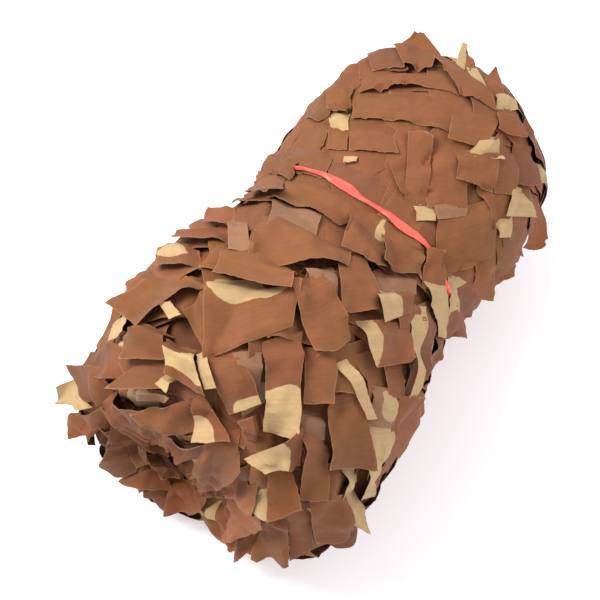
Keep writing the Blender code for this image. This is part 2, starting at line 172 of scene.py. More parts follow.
def hermite(knots, values, at):
    """Smooth curve through knots: cubic pieces whose slope at a knot is the mean of the slopes on
    its two sides, each counted by the length of the other side."""
    knots, values = np.asarray(knots, float), np.asarray(values, float)
    slope = np.gradient(values, knots)
    i = np.clip(np.searchsorted(knots, at) - 1, 0, len(knots) - 2)
    step = knots[i + 1] - knots[i]
    u = np.clip((at - knots[i]) / step, 0, 1)
    return ((1 + 2 * u) * (1 - u) ** 2 * values[i] + u * (1 - u) ** 2 * step * slope[i]
            + u * u * (3 - 2 * u) * values[i + 1] + u * u * (u - 1) * step * slope[i + 1])


CHORDS = [math.hypot(b.x - a.x, b.radius - a.radius) for a, b in zip(SECTIONS, SECTIONS[1:])]
ALONG = np.concatenate([[0.0], np.cumsum(CHORDS)])
END = float(ALONG[-1])


def section(s):
    """x, radius, centre y and centre z of the section at s."""
    return [hermite(ALONG, [row[k] for row in SECTIONS], s) for k in range(4)]


def radius_at(s):
    """Radius of the smooth roll at one place along it."""
    return float(section(np.array([float(s)]))[1][0])


def raw_point(s, t):
    """Smooth roll: an oval of the section's radius, swollen by three long waves that fade out
    towards the floor."""
    x, radius, cy, cz = section(s)
    wave = sum(w.share * np.sin(w.around * t + w.along * s * MM + w.phase) for w in SWELLS)
    reach = radius * (1 + wave * (1 - np.clip((-np.cos(t) - LEVEL_FROM) / LEVEL_OVER, 0, 1)))
    return np.stack([x, cy - reach * np.sin(t), cz + FLATTEN * reach * np.cos(t)], -1)


def normal(s, t):
    """Outward unit normal: the cross product of the slopes round and along, and the X axis at the
    middles of the ends, where that is nought."""
    a = raw_point(np.minimum(s + 0.5, END), t) - raw_point(np.maximum(s - 0.5, 0), t)
    b = raw_point(s, t + 0.01) - raw_point(s, t - 0.01)
    across = np.cross(b, a)
    size = np.linalg.norm(across, axis=-1, keepdims=True)
    pole = np.where((s < END / 2)[..., None], [-1.0, 0, 0], [1.0, 0, 0])
    return np.where(size > 1e-6, across / np.maximum(size, 1e-9), pole)


LOOKUP_S, LOOKUP_T = 2.0, 1.0        # spacing of the places tried, in mm along and degrees round


def sight(height):
    """Every place on the side that faces the camera, where it is seen when it lies at a height
    off the smooth roll, in steps to the right and down from the view's corner, and how many
    steps a millimetre takes there."""
    s, t = np.meshgrid(np.arange(LOOKUP_S / 2, END, LOOKUP_S),
                       np.radians(np.arange(-180, 180, LOOKUP_T)), indexing="ij")
    out = normal(s, t)
    off = raw_point(s, t) + height * out - np.array(VIEW_FROM) / MM
    right, up, back = np.array(camera.rotation_euler.to_matrix()).T
    scale = np.where(np.sum(out * off, -1) < 0, FRAME * LENS / FILM / -(off @ back), np.inf)
    return s, t, FRAME / 2 + scale * (off @ right), FRAME / 2 - scale * (off @ up), scale


def seen(x, y, places):
    """s, t in degrees and how many millimetres off: the place that is seen closest to (x, y)."""
    s, t, right, down, scale = places
    off = np.hypot(right - x, down - y)
    i = np.unravel_index(np.nanargmin(off), off.shape)
    return float(s[i]), math.degrees(t[i]), float(off[i] / scale[i])


# Hollows pressed or left open between the folds: on the near side by where they are seen, behind
# by their real place.
SeenHollow = namedtuple("SeenHollow", "x y long across heading deep")
HOLLOWS_SEEN = [
    SeenHollow(178, 474, 34, 20, 20, 26),       # beside the middle of the spiral
    SeenHollow(222, 430, 38, 17, 75, 26),       # the long gap over the spiral end
    SeenHollow(174, 500, 22, 16, 80, 14),
    SeenHollow(146, 452, 24, 14, 40, 18),
    SeenHollow(210, 410, 18, 12, 0, 14),
    SeenHollow(194, 526, 36, 32, 0, 30),        # the notch over the floor
    SeenHollow(408, 436, 60, 40, 0, 30),
    SeenHollow(438, 372, 64, 50, 0, 24),
    SeenHollow(400, 458, 34, 28, 0, 10),
    SeenHollow(106, 308, 50, 30, 0, 16),
    SeenHollow(160, 245, 50, 26, 0, 9),
    SeenHollow(215, 206, 36, 22, 0, 9),
    SeenHollow(328, 86, 66, 30, 0, 17),
    SeenHollow(532, 128, 24, 40, 0, 11),
    SeenHollow(264, 160, 28, 20, 0, 13),
    SeenHollow(313, 408, 15, 14, 90, 8),
    SeenHollow(109, 388, 13, 8, 60, 8),
    SeenHollow(335, 298, 10, 8, 0, 8),
    SeenHollow(374, 480, 14, 8, 0, 10),
]
Hollow = namedtuple("Hollow", "s t long across heading deep")
HOLLOWS_BEHIND = [
    Hollow(690, 150, 30, 24, 40, 12),
    Hollow(720, -60, 30, 20, 10, 12),
    Hollow(250, -118, 26, 22, 60, 9),
    Hollow(560, 132, 28, 22, 30, 9),
]
BARE_ROLL = sight(0.0)
hollows = [Hollow(*seen(h.x, h.y, BARE_ROLL)[:2], *h[2:]) for h in HOLLOWS_SEEN] + HOLLOWS_BEHIND
BELL = 1.6                          # how fast a hollow's bell falls off


def by_heading(a, b, heading):
    """How far a place (a, b) is along a heading in radians, and across it."""
    return a * math.cos(heading) + b * math.sin(heading), b * math.cos(heading) - a * math.sin(heading)


def hollow_depth(s, t):
    """Sum of the hollows: each a bell with its own length, breadth and heading."""
    depth = np.zeros_like(s)
    for h in hollows:
        gap = (t - math.radians(h.t) + math.pi) % (2 * math.pi) - math.pi
        along, across = by_heading(s - h.s, gap * radius_at(h.s), math.radians(h.heading))
        u, v = along / h.long, across / h.across
        depth = depth + h.deep * np.exp(-BELL * (u * u + v * v))
    return depth


def point(s, t, height):
    """Point at a height off the smooth roll in metres.  Near the floor heights are squeezed by an
    exponential, so that layers keep their order and none goes through it."""
    p = raw_point(s, t) + height[..., None] * normal(s, t)
    squeezed = FLOOR_SOFT * np.exp(np.minimum(p[..., 2] - FLOOR_SOFT, 0) / FLOOR_SOFT)
    p[..., 2] = np.where(p[..., 2] < FLOOR_SOFT, squeezed, p[..., 2]) + FLOOR_GAP
    return p * MM


def grid_quads(rows, cols, first=0):
    """Quads of a grid of points numbered row by row from first."""
    k = np.arange(rows * cols).reshape(rows, cols)
    return first + np.stack([k[:-1, :-1], k[1:, :-1], k[1:, 1:], k[:-1, 1:]], -1).reshape(-1, 4)


def ripple(s, t, seed, count, shortest, longest):
    """Crumple between -1 and 1: a sum of folded sine waves of random heading and length over the
    unrolled surface, each turned into sharp ridges by taking its absolute value."""
    pick = np.random.default_rng(seed)
    out = np.zeros_like(s)
    for _ in range(count):
        length = pick.uniform(shortest, longest)
        heading = pick.uniform(0, math.pi)
        around = max(1, round(2 * math.pi * MEAN_RADIUS * abs(math.sin(heading)) / length))
        phase = pick.uniform(0, 6.28)
        wave = np.sin(2 * math.pi * s * math.cos(heading) / length + around * t + phase)
        out += 1 - 2 * np.abs(wave) ** 0.7
    return out / count


CORE_SINK, CORE_CRUMPLE = 11.0, 4.0
CORE_ROWS, CORE_COLUMNS, CORE_POLE = 210, 227, 6   # its grid, and how far it stays off the ends
s, t = np.meshgrid(np.linspace(CORE_POLE, END - CORE_POLE, CORE_ROWS),
                   np.linspace(-math.pi, math.pi, CORE_COLUMNS), indexing="ij")


def core_height(s, t):
    """Height of the wound turns: sunk under the leaves, hollowed and crumpled."""
    crumple = ripple(s, t, seed=5, count=9, shortest=26, longest=90)
    return -CORE_SINK - hollow_depth(s, t) + CORE_CRUMPLE * crumple


turns = new_mesh("wound_turns", point(s, t, core_height(s, t)).reshape(-1, 3), grid_quads(*s.shape))


def node(tree, kind, inputs=(), **settings):
    """A node with settings, and inputs given by name or number as a value or a socket."""
    made = tree.nodes.new(kind)
    for key, value in settings.items():
        setattr(made, key, value)
    for key, value in dict(inputs).items():
        if isinstance(value, bpy.types.NodeSocket):
            tree.links.new(value, made.inputs[key])
        else:
            made.inputs[key].default_value = value
    return made


def mixed(tree, share, a, b, blend="MIX"):
    """Mix of two colours, each given as a colour or a socket, by a share."""
    made = node(tree, "ShaderNodeMix", {0: share, 6: a, 7: b}, data_type="RGBA", blend_type=blend)
    return made.outputs[2]


def times(tree, colour, factor):
    """A colour multiplied by a colour or a value."""
    return mixed(tree, 1.0, colour, factor, "MULTIPLY")


def maths(tree, operation, *values):
    """One step of arithmetic on up to three values or sockets."""
    return node(tree, "ShaderNodeMath", dict(enumerate(values)), operation=operation).outputs[0]


def spread(tree, value, low, high, to_low=0.0, to_high=1.0):
    """A value read from one range to another and held inside it."""
    ends = {"From Min": low, "From Max": high, "To Min": to_low, "To Max": to_high}
    return node(tree, "ShaderNodeMapRange", {"Value": value, **ends}).outputs[0]


def noise(tree, place, scale, detail, roughness=0.5):
    """Soft clouds between 0 and 1, scale of them in a unit of the place."""
    kind = {"Scale": scale, "Detail": detail, "Roughness": roughness}
    return node(tree, "ShaderNodeTexNoise", {"Vector": place, **kind}).outputs["Fac"]


def srgb(red, green, blue):
    """Linear colour from 0 to 255 screen values."""
    return tuple(((c / 255 + 0.055) / 1.055) ** 2.4 if c > 10 else c / 3294
                 for c in (red, green, blue)) + (1,)


# Painted highlight: the pale colour of a thin line along the leaves' cut edges, for light catching them.
EDGE_HIGHLIGHT = srgb(178, 132, 98)
NO_EDGE = 50.0                       # distance from the edge, in mm, where there is none near


def ground_colour(tree, given, cloud):
    """The dyed ground: drifting between a reddish and an olive shade in large clouds, leaning
    cool or warm by the piece's hue, the cloth's reverse where the tone passes a half, and then
    darker or lighter by the tone."""
    reddish = times(tree, given["Ground"], (1.03, 0.965, 1.03, 1))
    olive = times(tree, given["Ground"], (0.99, 1.03, 0.90, 1))
    ground = mixed(tree, spread(tree, cloud, 0.35, 0.65), olive, reddish)
    cool = times(tree, ground, (0.93, 0.98, 1.13, 1))
    warm = times(tree, ground, (1.07, 0.96, 0.90, 1))
    leaning = mixed(tree, spread(tree, given["Hue"], -1.0, 1.0), cool, warm)
    ground = mixed(tree, maths(tree, "ABSOLUTE", given["Hue"]), ground, leaning)
    turned = maths(tree, "GREATER_THAN", given["Tone"], 0.5)
    ground = mixed(tree, turned, ground, given["Reverse"])
    own = maths(tree, "SUBTRACT", given["Tone"], turned)
    return times(tree, ground, maths(tree, "ADD", own, 1.0))


def printed(tree, given, here, ground):
    """The ground with the pale print where the mask, made uneven by small clouds, is above
    nought."""
    uneven = maths(tree, "MULTIPLY_ADD", noise(tree, here, 55.0, 2.0), 7.0, -3.5)
    mask = maths(tree, "ADD", given["Mask"], uneven)
    return mixed(tree, spread(tree, mask, -0.35, 0.35), ground, given["Print"])


def worn_with_edge_highlight(tree, given, here, streak, colour):
    """Wear: lighter and darker streaks and fine mottling; and a pale line along the cut edge, a painted
    highlight for the light that catches it.
    """
    colour = times(tree, colour, spread(tree, streak, 0.3, 0.75, 0.94, 1.06))
    mottled = noise(tree, here, 95.0, 5.0, 0.65)
    colour = times(tree, colour, spread(tree, mottled, 0.3, 0.7, 0.92, 1.08))
    # The pale line within a millimetre of the cut edge is a painted highlight.
    return mixed(tree, spread(tree, given["Edge"], 0.1, 1.0, 0.35, 0.0), colour, EDGE_HIGHLIGHT)


def relief(tree, given, here, flat, streak):
    """Normal: a fine plain weave, the product of two crossed sets of waves, and over it soft
    creases and long pulled streaks."""
    warp, weft = (node(tree, "ShaderNodeTexWave", {"Vector": flat, "Scale": 420.0}, wave_type="BANDS",
                       bands_direction=way).outputs["Fac"] for way in "XY")
    woven = node(tree, "ShaderNodeBump", {"Strength": given["Weave"], "Distance": 0.0002,
                                          "Height": maths(tree, "MULTIPLY", warp, weft)})
    pulled = maths(tree, "MULTIPLY_ADD", streak, 0.35, noise(tree, here, 60.0, 3.0))
    creased = node(tree, "ShaderNodeBump", {"Strength": given["Crease"], "Distance": 0.0022,
                                            "Height": pulled, "Normal": woven.outputs[0]})
    return creased.outputs[0]


def cloth_group():
    """Printed coated cloth: its colour, roughness and normal, worked out from three colours and
    the piece's own print mask, tone, hue and distance from the cut edge."""
    tree = bpy.data.node_groups.new("cloth_finish", "ShaderNodeTree")
    colours = {"Ground": srgb(160, 107, 76), "Print": srgb(212, 183, 134), "Reverse": srgb(139, 101, 74)}
    values = {"Mask": -10.0, "Tone": 0.0, "Hue": 0.0, "Edge": NO_EDGE, "Weave": 0.25, "Crease": 0.4}
    for label, value in (colours | values).items():
        kind = "NodeSocketColor" if label in colours else "NodeSocketFloat"
        tree.interface.new_socket(label, in_out="INPUT", socket_type=kind).default_value = value
    for label, kind in (("Color", "Color"), ("Roughness", "Float"), ("Normal", "Vector")):
        tree.interface.new_socket(label, in_out="OUTPUT", socket_type="NodeSocket" + kind)
    given, out = tree.nodes.new("NodeGroupInput").outputs, tree.nodes.new("NodeGroupOutput")
    here = node(tree, "ShaderNodeTexCoord").outputs["Object"]
    flat = node(tree, "ShaderNodeUVMap", uv_map="cloth").outputs["UV"]
    long_ways = node(tree, "ShaderNodeMapping", {"Vector": flat, "Scale": (420.0, 26.0, 1.0)})
    streak = noise(tree, long_ways.outputs[0], 1.0, 2.0)
    cloud = noise(tree, here, 9.0, 3.0, 0.55)
    colour = printed(tree, given, here, ground_colour(tree, given, cloud))
    tree.links.new(worn_with_edge_highlight(tree, given, here, streak, colour), out.inputs["Color"])
    tree.links.new(spread(tree, cloud, 0.0, 1.0, 0.78, 0.62), out.inputs["Roughness"])
    tree.links.new(relief(tree, given, here, flat, streak), out.inputs["Normal"])
    return tree


CLOTH = cloth_group()


def cloth_material(name, ground, print_colour, crease, sheen):
    """Cloth whose print mask, tone, hue and distance from the edge are the piece's own."""
    material, tree, shader = new_material(name)
    finish = node(tree, "ShaderNodeGroup", node_tree=CLOTH)
    fill(finish, Ground=ground, Print=print_colour, Crease=crease)
    fill(shader, Sheen_Weight=sheen, Sheen_Roughness=0.5, Specular_IOR_Level=0.15)
    for label, layer in (("Mask", "print_mask"), ("Tone", "tone"), ("Hue", "hue"), ("Edge", "edge")):
        own = node(tree, "ShaderNodeAttribute", attribute_name=layer)
        tree.links.new(own.outputs["Fac"], finish.inputs[label])
    for name_out, name_in in (("Color", "Base Color"), ("Roughness", "Roughness"), ("Normal", "Normal")):
        tree.links.new(finish.outputs[name_out], shader.inputs[name_in])
    return material


CRISP = 28.0                         # degrees


def read(items, name, kind):
    """Reads one value of all items of a mesh as an array."""
    values = np.empty(len(items), kind)
    items.foreach_get(name, values)
    return values


def shade(mesh):
    """Smooth shading with crisp rims and creases: edges of one face, or bent by more than
    CRISP degrees, are sharp."""
    write(mesh.polygons, "use_smooth", np.ones(len(mesh.polygons)), bool)
    mesh.set_sharp_from_angle(angle=math.radians(CRISP))
    faces = np.bincount(read(mesh.loops, "edge_index", np.int32), minlength=len(mesh.edges))
    if "sharp_edge" not in mesh.attributes:
        mesh.attributes.new("sharp_edge", "BOOLEAN", "EDGE")
    sharp = mesh.attributes["sharp_edge"].data
    write(sharp, "value", read(sharp, "value", bool) | (faces == 1), bool)


def set_layers(obj, flat, mask, tone, hue, edge):
    """Writes each point's unrolled place, print mask, tone, hue and distance from the cut edge,
    and shades the mesh."""
    mesh = obj.data
    write(mesh.uv_layers.new(name="cloth").data, "uv", flat[read(mesh.loops, "vertex_index", np.int32)])
    for label, values in (("print_mask", mask), ("tone", tone), ("hue", hue), ("edge", edge)):
        write(mesh.attributes.new(label, "FLOAT", "POINT").data, "value", values)
    shade(mesh)


def thicken(obj, name, thickness, side):
    """A wall of a thickness in metres, outwards for side 1 and inwards for -1."""
    wall = obj.modifiers.new(name, "SOLIDIFY")
    wall.thickness, wall.offset = thickness, side
    return wall


# The turns' print lies where the product of two slow waves is high.  Their tone is painted shade: darkest
# at the open end and paler away from it, for the deep pockets there, with a slow random ripple over it.
# They have no cut edge.  Their flat cloth is as wide as the roll's girth.
CORE_END_SHADE, CORE_END_SHADE_REACH, CORE_WALL = 0.35, 200, 0.0008
core_flat = np.stack([s, t * MEAN_RADIUS], -1).reshape(-1, 2) * MM
core_mask = 14 * np.sin(s / 31 + 2 * np.sin(3 * t)) * np.sin(4 * t + s / 47) - 6
core_tone_and_shade = CORE_END_SHADE * (1 - np.clip(1 - s / CORE_END_SHADE_REACH, 0, 1)) + 0.1 * ripple(
    s, t, seed=8, count=5, shortest=60, longest=160)
set_layers(turns, core_flat, core_mask.ravel(), core_tone_and_shade.ravel(), np.zeros(s.size),
           np.full(s.size, NO_EDGE))
# Painted shade: the turns' ground and print are much darker than the leaves', for the gaps where only shade
# is seen.
turns.data.materials.append(cloth_material("turns_cloth_painted_shade", srgb(84, 50, 32), srgb(128, 102, 70), 0.8, 0.0))
thicken(turns, "cloth_wall", CORE_WALL, -1)
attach(turns, "root")
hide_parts("net_roll")

# ----------------------------------------------------------------------------------------------
# The leaves: flaps with straight edges, cut out of the net's one coated and printed cloth, thin
# as paper and joined to it at their roots.  They lie one over another: each bridges what lies
# under it, dips at its root, lifts at its tip, and has a sharp crease or two.

# One row per leaf of the near side: its level, where its corners are seen (a and b the root's,
# left and right, c and d the tip's, right and left), how far its tip lifts, its tint, how far it
# curls in degrees, how far its middle stands ahead of the tip's corners, and its blot: an ellipse
# of pale print, with its middle as shares of the leaf's length and width, and its two half axes.
NO_PRINT = (0, 0, 0, 0)
ALL_OVER = (0.5, 0, 200, 90)       # an ellipse larger than any leaf
Leaf = namedtuple("Leaf", "level ax ay bx by cx cy dx dy lift tint curl point blot",
                  defaults=("plain", 0, 0, NO_PRINT))
LEAVES = [
    # near end, left
    Leaf(2, 82, 360, 84, 410, 62, 404, 56, 385, 5, point=14, blot=(0.45, 0, 22, 60)),
    Leaf(3, 120, 342, 116, 378, 80, 374, 84, 349, 2, "dusk", point=6),
    Leaf(3, 102, 362, 98, 405, 80, 400, 80, 368, 4, "dusk", curl=-30, point=3),
    Leaf(3, 97, 406, 99, 440, 74, 441, 70, 415, 3, "warm", curl=-20, point=4),
    Leaf(3, 106, 426, 140, 434, 134, 476, 101, 468, 2, "dusk", curl=-30, point=6),
    Leaf(2, 134, 468, 152, 460, 168, 500, 120, 479, 4),
    Leaf(4, 93, 418, 96, 396, 168, 428, 164, 448, 4, curl=-20, point=2),
    Leaf(3, 110, 436, 128, 440, 150, 462, 136, 470, 3, "dark"),
    Leaf(4, 130, 325, 163, 327, 160, 360, 121, 362, 4),
    Leaf(3, 136, 358, 166, 364, 160, 392, 114, 386, 5),
    Leaf(4, 159, 376, 172, 380, 166, 394, 154, 385, 3, blot=ALL_OVER),
    Leaf(4, 128, 397, 134, 390, 167, 402, 160, 409, 3, "back"),
    Leaf(4, 193, 403, 194, 442, 162, 433, 132, 411, 4),
    Leaf(5, 186, 396, 198, 398, 226, 448, 192, 443, 6, "warm", blot=(0.92, -0.35, 18, 13)),
    Leaf(4, 150, 447, 156, 439, 205, 452, 199, 466, 4, "warm", curl=-30, point=2),
    Leaf(3, 134, 434, 148, 436, 146, 458, 139, 452, 3, "back"),
    Leaf(3, 146, 458, 160, 462, 178, 480, 160, 482, 4, "dark"),
    Leaf(4, 201, 446, 234, 432, 238, 474, 201, 478, 4, point=24),
    Leaf(3, 168, 484, 206, 488, 200, 511, 165, 515, 4, "warm", curl=-20, point=8),
    Leaf(2, 188, 470, 212, 476, 222, 500, 196, 498, 4, "dark"),
    # left side of the thick end
    Leaf(3, 162, 268, 204, 279, 140, 330, 119, 312, 2),
    Leaf(2, 142, 262, 156, 284, 126, 294, 128, 283, 2, "warm"),
    Leaf(1, 128, 288, 140, 292, 124, 332, 107, 340, 3, blot=ALL_OVER),
    Leaf(3, 160, 306, 172, 303, 184, 320, 172, 325, 3, blot=(0.8, 0, 14, 20)),
    Leaf(2, 194, 243, 198, 262, 154, 266, 158, 248, 3, "dusk", blot=(0.6, -0.2, 20, 10)),
    Leaf(2, 234, 216, 232, 234, 176, 246, 180, 235, 4, "warm"),
    Leaf(2, 228, 240, 250, 245, 251, 258, 233, 250, 2, blot=ALL_OVER),
    Leaf(3, 236, 206, 238, 224, 206, 224, 208, 208, 6, "warm", curl=20, point=3),
    Leaf(3, 228, 214, 246, 216, 250, 248, 227, 246, 3, "back"),
    Leaf(2, 290, 165, 293, 196, 234, 206, 250, 185, 4),
    Leaf(1, 285, 190, 280, 230, 232, 226, 236, 200, 4, "dusk"),
    Leaf(2, 224, 232, 262, 240, 258, 270, 196, 262, 4),
    # middle of the thick end
    Leaf(3, 212, 270, 302, 268, 293, 328, 201, 361, 4, curl=-30, blot=(0.2, -0.05, 24, 36)),
    Leaf(2, 206, 280, 214, 300, 203, 352, 179, 308, 3),
    Leaf(4, 224, 244, 301, 262, 289, 294, 213, 278, 5),
    Leaf(4, 288, 285, 323, 270, 353, 339, 315, 350, 4, point=6),
    Leaf(2, 304, 258, 336, 260, 340, 297, 315, 284, 3, "back"),
    Leaf(1, 332, 296, 342, 298, 343, 314, 332, 312, 2, blot=ALL_OVER),
    Leaf(3, 336, 236, 362, 242, 382, 309, 342, 313, 4),
    Leaf(3, 310, 342, 341, 350, 334, 403, 306, 402, 5),
    Leaf(4, 264, 340, 308, 328, 296, 439, 262, 434, 4, blot=(1.0, -0.1, 44, 60)),
    Leaf(2, 232, 350, 262, 350, 262, 393, 250, 394, 3, "back"),
    Leaf(3, 205, 356, 237, 357, 262, 403, 226, 419, 4, blot=(1.0, 0.5, 13, 22)),
    Leaf(3, 262, 412, 263, 441, 242, 434, 236, 424, 4),
    Leaf(2, 264, 434, 262, 450, 240, 446, 240, 437, 3, "dusk"),
    Leaf(4, 161, 336, 190, 346, 206, 398, 165, 377, 4, blot=(0.5, 0, 10, 40)),
    Leaf(3, 192, 352, 204, 352, 217, 389, 204, 390, 3, blot=ALL_OVER),
    Leaf(1, 300, 405, 330, 412, 330, 440, 304, 444, 3, "back"),
    # above and beside the tape, thick side
    Leaf(3, 258, 212, 352, 240, 350, 264, 246, 258, 4),
    Leaf(2, 274, 190, 326, 206, 318, 237, 267, 226, 3, "back"),
    Leaf(3, 286, 170, 376, 207, 343, 220, 268, 196, 5),
    Leaf(3, 352, 200, 389, 214, 386, 268, 342, 246, 5, blot=(0.25, 0.35, 22, 10)),
    Leaf(4, 386, 224, 426, 247, 421, 278, 381, 269, 5),
    Leaf(3, 412, 304, 428, 306, 413, 418, 407, 417, 2, blot=ALL_OVER),
    Leaf(2, 423, 303, 438, 311, 432, 366, 420, 366, 1, "dusk"),
    Leaf(2, 416, 352, 434, 358, 424, 396, 410, 400, 1),
    Leaf(2, 376, 266, 419, 274, 419, 293, 380, 293, 3, "back"),
    Leaf(3, 375, 284, 413, 288, 413, 312, 384, 323, 4, blot=(0.6, -0.25, 24, 17)),
    Leaf(3, 365, 316, 411, 324, 411, 363, 372, 369, 4, blot=(0.5, -0.4, 30, 13)),
    Leaf(2, 390, 350, 411, 352, 409, 398, 391, 398, 4),
    # lower right of the thick end
    Leaf(4, 331, 398, 359, 390, 376, 470, 327, 468, 5),
    Leaf(4, 338, 362, 353, 357, 375, 418, 366, 421, 3, blot=ALL_OVER),
    Leaf(3, 371, 384, 403, 391, 405, 433, 376, 429, 4, "back", blot=(0.4, 0.1, 13, 14)),
    Leaf(3, 368, 426, 403, 423, 388, 480, 372, 484, 2, blot=ALL_OVER),
    Leaf(3, 348, 468, 366, 474, 358, 524, 342, 521, 3, blot=ALL_OVER),
    Leaf(3, 314, 496, 354, 498, 347, 531, 318, 543, 3, point=6),
    Leaf(4, 398, 436, 404, 396, 430, 399, 414, 436, 5, "warm", point=3),
    Leaf(3, 374, 464, 390, 458, 375, 497, 364, 502, 1, blot=ALL_OVER),
    Leaf(2, 328, 466, 352, 470, 350, 505, 325, 500, 4),
    Leaf(4, 305, 427, 302, 470, 264, 472, 242, 462, 5, blot=(0.95, 0, 24, 30)),
    Leaf(3, 300, 424, 333, 438, 329, 500, 303, 507, 4),
    Leaf(3, 266, 468, 293, 471, 303, 505, 270, 514, 4, "warm"),
    Leaf(2, 246, 466, 282, 476, 288, 516, 246, 514, 5, blot=(0.75, -0.05, 17, 11)),
    Leaf(5, 217, 490, 254, 492, 262, 532, 226, 538, 3, "faded", point=3),
    Leaf(3, 206, 505, 222, 500, 239, 546, 224, 541, 4, "warm", point=3),
    Leaf(3, 252, 520, 291, 524, 290, 551, 252, 553, 2, "dark", point=2),
    Leaf(2, 290, 516, 318, 514, 314, 548, 290, 552, 5),
    Leaf(2, 236, 520, 258, 516, 262, 551, 238, 553, 3, "warm", blot=(0.2, 0, 12, 30)),
    # far half, left
    Leaf(3, 352, 66, 361, 76, 316, 119, 302, 115, 3, "dusk"),
    Leaf(2, 318, 104, 334, 112, 318, 152, 286, 146, 4),
    Leaf(2, 288, 140, 332, 148, 322, 173, 278, 168, 4, "dusk"),
    Leaf(1, 268, 150, 290, 148, 284, 180, 255, 184, 4, "dusk"),
    Leaf(3, 330, 78, 352, 84, 347, 108, 327, 108, 4),
    Leaf(2, 326, 103, 346, 104, 348, 127, 329, 126, 2, blot=ALL_OVER),
    Leaf(2, 327, 122, 349, 124, 346, 149, 325, 147, 3),
    Leaf(3, 348, 119, 394, 128, 399, 152, 349, 149, 4),
    Leaf(2, 342, 151, 359, 153, 356, 162, 343, 161, 2, blot=ALL_OVER),
    # far half, top
    Leaf(2, 360, 57, 412, 62, 411, 77, 357, 75, 4),
    Leaf(2, 377, 50, 404, 46, 407, 66, 380, 67, 5, "dusk", point=3),
    Leaf(2, 357, 72, 456, 78, 462, 94, 357, 89, 5),
    Leaf(3, 414, 45, 450, 57, 498, 110, 461, 92, 4),
    Leaf(2, 350, 91, 464, 100, 481, 143, 350, 117, 4),
    Leaf(2, 446, 50, 456, 52, 494, 94, 485, 92, 2, blot=ALL_OVER),
    Leaf(2, 366, 50, 406, 42, 404, 66, 372, 69, 5, "dusk"),
    Leaf(2, 392, 40, 436, 42, 432, 66, 402, 64, 3),
    Leaf(2, 503, 88, 506, 136, 475, 122, 470, 90, 4),
    Leaf(2, 384, 150, 408, 131, 419, 202, 400, 190, 4),
    Leaf(3, 405, 202, 428, 205, 433, 135, 408, 131, 5, point=2),
    Leaf(2, 407, 126, 428, 128, 428, 138, 410, 135, 1, blot=ALL_OVER),
    Leaf(3, 455, 102, 502, 112, 483, 147, 448, 139, 4),
    Leaf(3, 484, 136, 501, 138, 503, 159, 465, 156, 2, blot=ALL_OVER),
    Leaf(2, 434, 134, 464, 140, 471, 210, 428, 205, 5),
    Leaf(3, 456, 148, 502, 153, 496, 193, 457, 178, 6),
    # far half, right
    Leaf(2, 479, 82, 508, 99, 497, 70, 493, 70, 14, "warm", point=2),
    Leaf(2, 455, 66, 484, 78, 466, 47, 461, 47, 16, "pale"),
    Leaf(3, 456, 66, 466, 70, 464, 50, 459, 50, 8, blot=ALL_OVER),
    Leaf(2, 392, 52, 452, 62, 424, 31, 413, 30, 4, "warm", point=2),
    Leaf(2, 499, 87, 512, 91, 519, 109, 497, 107, 4, blot=ALL_OVER),
    Leaf(3, 500, 104, 524, 111, 527, 138, 497, 129, 6, "warm", curl=-30, point=3),
    Leaf(2, 520, 138, 536, 146, 540, 185, 516, 180, 5, "dusk", point=3),
    Leaf(1, 534, 160, 545, 166, 545, 184, 534, 178, 4, blot=ALL_OVER),
    Leaf(4, 519, 185, 528, 189, 533, 217, 505, 217, 4, blot=ALL_OVER),
    Leaf(2, 497, 150, 522, 152, 520, 196, 498, 192, 4),
    Leaf(4, 440, 210, 497, 200, 492, 258, 444, 284, 4),
    Leaf(3, 416, 203, 438, 206, 436, 220, 418, 219, 1, blot=ALL_OVER),
    Leaf(3, 436, 200, 469, 206, 469, 216, 438, 220, 1, "back"),
    Leaf(3, 528, 192, 545, 198, 548, 246, 526, 251, 6, "warm", curl=-30, point=4),
    Leaf(2, 500, 214, 531, 219, 523, 256, 504, 258, 5, "dusk"),
    Leaf(3, 499, 221, 517, 218, 511, 238, 500, 239, 1, blot=ALL_OVER),
    Leaf(2, 497, 234, 521, 243, 513, 276, 491, 291, 5),
    Leaf(2, 479, 256, 499, 256, 493, 300, 474, 301, 5, "warm"),
    Leaf(6, 457, 280, 466, 281, 456, 317, 447, 315, 2, blot=ALL_OVER),
    Leaf(2, 463, 282, 481, 274, 472, 318, 458, 325, 4, "dusk"),
    Leaf(6, 441, 309, 464, 304, 460, 334, 440, 349, 0, "dark"),
    # over the tape
    Leaf(6, 419, 268, 448, 271, 445, 339, 438, 337, 3, blot=ALL_OVER),
    Leaf(6, 424, 288, 447, 290, 446, 250, 425, 248, 1, "warm"),
    Leaf(6, 253, 172, 285, 175, 284, 201, 246, 198, 1),
    Leaf(6, 268, 150, 298, 158, 289, 178, 262, 173, 1, "dusk"),
]
Tint = namedtuple("Tint", "tone hue")          # a tone of 1 shows the cloth's reverse
TINTS = {
    "plain": Tint(0.0, 0.0),
    "dark": Tint(-0.13, 0.0),
    "warm": Tint(0.01, 1.0),
    "dusk": Tint(-0.06, -1.0),
    "pale": Tint(0.12, -0.3),
    "faded": Tint(0.45, -0.7),
    "back": Tint(1.0, 0.0),
}
SETTLED = 6.0                      # mean height of the outermost layer off the smooth roll
COVER = sight(SETTLED + 2)         # where the corners of the uppermost leaves are seen

# The height of what has been laid so far is kept on a map of the roll, in cells of 2.5 mm along
# and 1.2 degrees round.
MAP_S, MAP_T = int(END / 2.5), 300
grid_s, grid_t = np.meshgrid((np.arange(MAP_S) + 0.5) * END / MAP_S,
                             (np.arange(MAP_T) + 0.5) * 2 * math.pi / MAP_T - math.pi, indexing="ij")
height_map = core_height(grid_s, grid_t)
SAMPLE = np.linspace(0.0, END, 1000)
SAMPLE_SECTION = section(SAMPLE)


